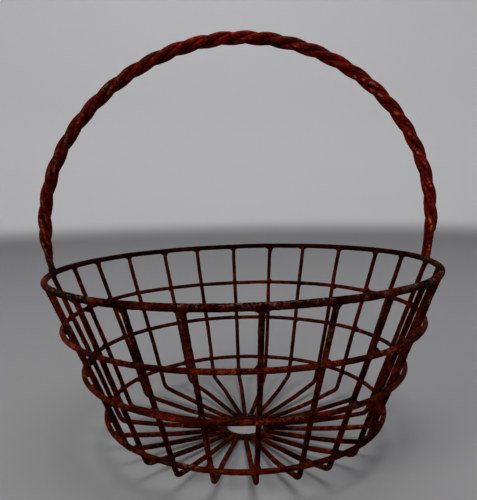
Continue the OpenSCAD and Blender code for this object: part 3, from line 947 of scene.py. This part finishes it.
# The handle's feet: the strands forged together and welded down on the rim in a collar of beads
FOOT_REACH, FOOT_DEPTH, FOOT_WIDTH, FOOT_FILLET = 46.0, 8.0, 11.5, 2.2
FOOT_GRID_LOW, FOOT_GRID_HIGH = np.array([-17.0, -13.0, -9.0]), np.array([17.0, 13.0, FOOT_REACH + 2])
FOOT_RUN, RIM_FOOT_RUN, RUN_THINNED = 58.0, 24.0, 4
FORGE_FILLET, FREE_FILLET, FORGE_SHARE = 3.4, 0.3, 0.75
COLLAR_BEADS, COLLAR_R, COLLAR_WAVE, COLLAR_BEAD_R, COLLAR_TIP_R = 6, 2.6, 0.6, 1.5, 1.1
parts = []
for foot in (right_foot, left_foot):
    base = bow_point(np.array(foot))
    p, counts = grid_around(base + FOOT_GRID_LOW, base + FOOT_GRID_HIGH, NET_STEP)
    height = p[:, 2] - base[2]
    runs = []
    for path, radius in strands.values():
        keep = np.linalg.norm(path - base, axis=1) < FOOT_RUN
        runs.append(chain(p, path[keep][::RUN_THINNED], radius[keep][::RUN_THINNED] - SUNK))
    fillet = FREE_FILLET + FORGE_FILLET * eased(1 - height / FOOT_REACH / FORGE_SHARE)
    rim = chain(p, near(bars["rim_hoop"][0], base, RIM_FOOT_RUN, closed=True), rim_bar_r - SUNK)
    collar = []
    for t in np.arange(COLLAR_BEADS) * 2 * np.pi / COLLAR_BEADS:
        wave = COLLAR_WAVE * (math.sin(3 * t) - 1)
        spot = base + [COLLAR_R * math.cos(t), COLLAR_R * math.sin(t), wave]
        collar.append(capsule(p, spot, spot + UP * random.uniform(0.5, 2.0), COLLAR_BEAD_R, COLLAR_TIP_R))
    field = fused([fused(runs, fillet), rim, np.min(collar, 0)], FOOT_FILLET)
    on_foot = 1 - eased((np.linalg.norm(p - base, axis=1) - 6) / 8) * eased((6 - height) / 4)
    field = field - 0.22 * noise(p, 3.4, 15) * (1 - eased(height / FOOT_REACH / 0.9)) * on_foot
    field = field - 0.08 * noise(p, 1.4, 16) * on_foot
    aside = np.abs(p[:, 1] - base[1])
    field = np.max([field, height - FOOT_REACH, aside - FOOT_WIDTH, -height - FOOT_DEPTH], 0)
    parts.append(surface_net(field.reshape(counts), p[0], NET_STEP))
verts, quads = joined(parts)
low_on = eased((8 - (verts[:, 2] - rim_centre[2])) / 6)
fresh = 0.35 + 0.5 * noise(verts, 18, 34)
make_piece("handle_end_welds", verts, quads, **masks_for(verts, fresh, 0.2, 0.5 * low_on, 0.15))

# ---------------------------------------------------------------- the room, the light and the camera

# In metres: a round room whose floor sweeps up into its wall
ROOM_R, ROOM_H, SWEEP_R, ROOM_TURNS = 3.2, 3.4, 0.9, 128
FLOOR_TONE, WALL_TONE, TONE_RISE, PAINT_ROUGHNESS = (0.28, 0.28, 0.285), (0.70, 0.70, 0.71), 0.1, 0.6
outline = [(r, 0.0) for r in np.linspace(0.3, ROOM_R - SWEEP_R, 8)]
outline += [(ROOM_R - SWEEP_R + SWEEP_R * math.sin(t), SWEEP_R - SWEEP_R * math.cos(t))
            for t in np.linspace(0, math.pi / 2, 12)[1:]]
outline += [(ROOM_R, ROOM_H)]
angles = [2 * math.pi * i / ROOM_TURNS for i in range(ROOM_TURNS)]
verts = [(r * math.cos(a), r * math.sin(a), z) for r, z in outline for a in angles] + [(0, 0, 0)]
faces = []
for i in range(ROOM_TURNS):
    j = (i + 1) % ROOM_TURNS
    faces.append((len(verts) - 1, i, j))
    for low in range(0, (len(outline) - 1) * ROOM_TURNS, ROOM_TURNS):
        faces.append((low + i, low + ROOM_TURNS + i, low + ROOM_TURNS + j, low + j))
room_mesh = bpy.data.meshes.new("floor")
room_mesh.from_pydata(verts, [], faces)
room_mesh.polygons.foreach_set("use_smooth", [True] * len(faces))
floor = bpy.data.objects.new("floor", room_mesh)
bpy.context.scene.collection.objects.link(floor)
paint = bpy.data.materials.new("floor_paint")
paint.use_nodes = True
nt = paint.node_tree
up_wall = nt.nodes.new("ShaderNodeSeparateXYZ")
nt.links.new(nt.nodes.new("ShaderNodeTexCoord").outputs["Object"], up_wall.inputs[0])
tone = mix(nt, stretch(nt, up_wall.outputs["Z"], 0.0, TONE_RISE), FLOOR_TONE, WALL_TONE)
nt.links.new(tone, nt.nodes["Principled BSDF"].inputs["Base Color"])
nt.nodes["Principled BSDF"].inputs["Roughness"].default_value = PAINT_ROUGHNESS
room_mesh.materials.append(paint)


def area_light(name, place, aim, size, power, colour):
    """A round soft light at place, turned to aim."""
    light = bpy.data.lights.new(name, "AREA")
    light.shape = "DISK"
    light.size = size
    light.energy = power
    light.color = colour
    lamp = bpy.data.objects.new(name, light)
    bpy.context.scene.collection.objects.link(lamp)
    back = unit(np.array(place, float) - np.array(aim, float))
    right = unit(np.cross(UP, back))
    top = np.cross(back, right)
    lamp.matrix_world = Matrix([[right[k], top[k], back[k], place[k]] for k in range(3)] + [[0, 0, 0, 1]])


area_light("key", (-1.5, -1.5, 1.35), (0, 0, 0.2), 1.1, 40, (1.0, 0.985, 0.96))
area_light("top", (0.35, -0.35, 2.5), (0, 0, 0.15), 1.4, 28, (1.0, 0.99, 0.98))
area_light("fill", (1.9, -1.0, 1.3), (0, 0, 0.2), 1.2, 12, (0.95, 0.97, 1.0))
area_light("wall", (0.0, 1.2, 2.7), (0, 3.0, 1.2), 1.6, 14, (0.98, 0.99, 1.0))
world = bpy.data.worlds.new("world")
bpy.context.scene.world = world
world.use_nodes = True
world.node_tree.nodes["Background"].inputs["Color"].default_value = (0.92, 0.95, 1.0, 1)
world.node_tree.nodes["Background"].inputs["Strength"].default_value = 0.20
bpy.context.scene.view_settings.view_transform = "Standard"
bpy.context.scene.view_settings.gamma = 0.82

CAMERA_PLACE = (-0.0330, -0.5448, 0.2620)
pitch, yaw, roll = math.radians(6.40), math.radians(-3.02), math.radians(0.92)
camera_data = bpy.data.cameras.new("camera")
camera_data.lens, camera_data.sensor_width = 36.81, 36.0
camera_data.clip_start, camera_data.clip_end = 0.01, 20
camera = bpy.data.objects.new("camera", camera_data)
bpy.context.scene.collection.objects.link(camera)
ahead = np.array([-math.sin(yaw) * math.cos(pitch), math.cos(yaw) * math.cos(pitch), -math.sin(pitch)])
level = unit(np.cross(ahead, UP))
plumb = np.cross(ahead, level)
right = math.cos(roll) * level + math.sin(roll) * plumb
down = math.cos(roll) * plumb - math.sin(roll) * level
camera.matrix_world = Matrix(
    [[right[k], -down[k], -ahead[k], CAMERA_PLACE[k]] for k in range(3)] + [[0, 0, 0, 1]])
bpy.context.scene.camera = camera
